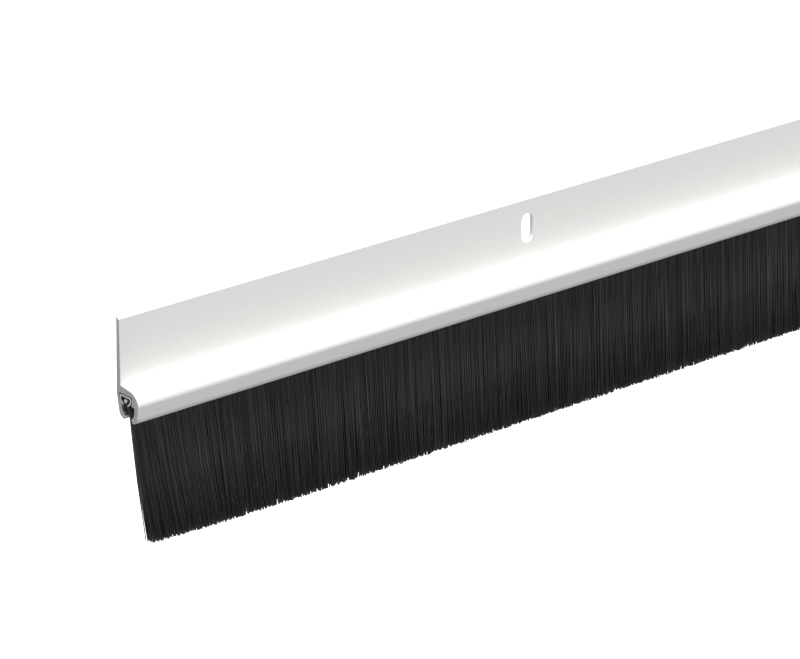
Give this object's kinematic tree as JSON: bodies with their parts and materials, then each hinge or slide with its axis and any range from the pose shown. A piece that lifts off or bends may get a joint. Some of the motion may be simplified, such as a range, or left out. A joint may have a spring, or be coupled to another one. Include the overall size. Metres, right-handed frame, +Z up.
{
  "type": "door sweep",
  "caption": "Brush door sweep: a slotted aluminium carrier that screws to a door's foot and holds a slide-in strip of long black nylon bristles.",
  "frame": {"origin": "on the mounting face, at mid-length, level with the centres of the screw slots", "axes": "+X along the door's foot, +Y out of the sweep's back into the door, +Z up, so the bristles hang towards -Z and -Y is the room"},
  "size_m": [0.9144, 0.01, 0.0718],
  "materials": {
    "white_aluminium": "satin",
    "galvanised_steel": "satin",
    "wire_steel": "satin",
    "black_nylon": "satin"
  },
  "bodies": {
    "carrier": {"aluminium_carrier": "white_aluminium"},
    "brush_strip": {"brush_channel": "galvanised_steel", "core_wire": "wire_steel", "bristle_root": "black_nylon"},
    "bristles": {"bristle_curtain": "black_nylon"}
  },
  "joints": [
    {"name": "brush_slide", "type": "slide", "parent": "carrier", "child": "brush_strip", "axis": [1, 0, 0], "range_m": [-0.9, 0.9]},
    {"name": "bristle_flex", "type": "hinge", "parent": "brush_strip", "child": "bristles", "pos_m": [0, -0.0053, -0.0214], "axis": [1, 0, 0], "range_deg": [-35, 35], "stiffness_Nm_per_rad": 0.45}
  ]
}
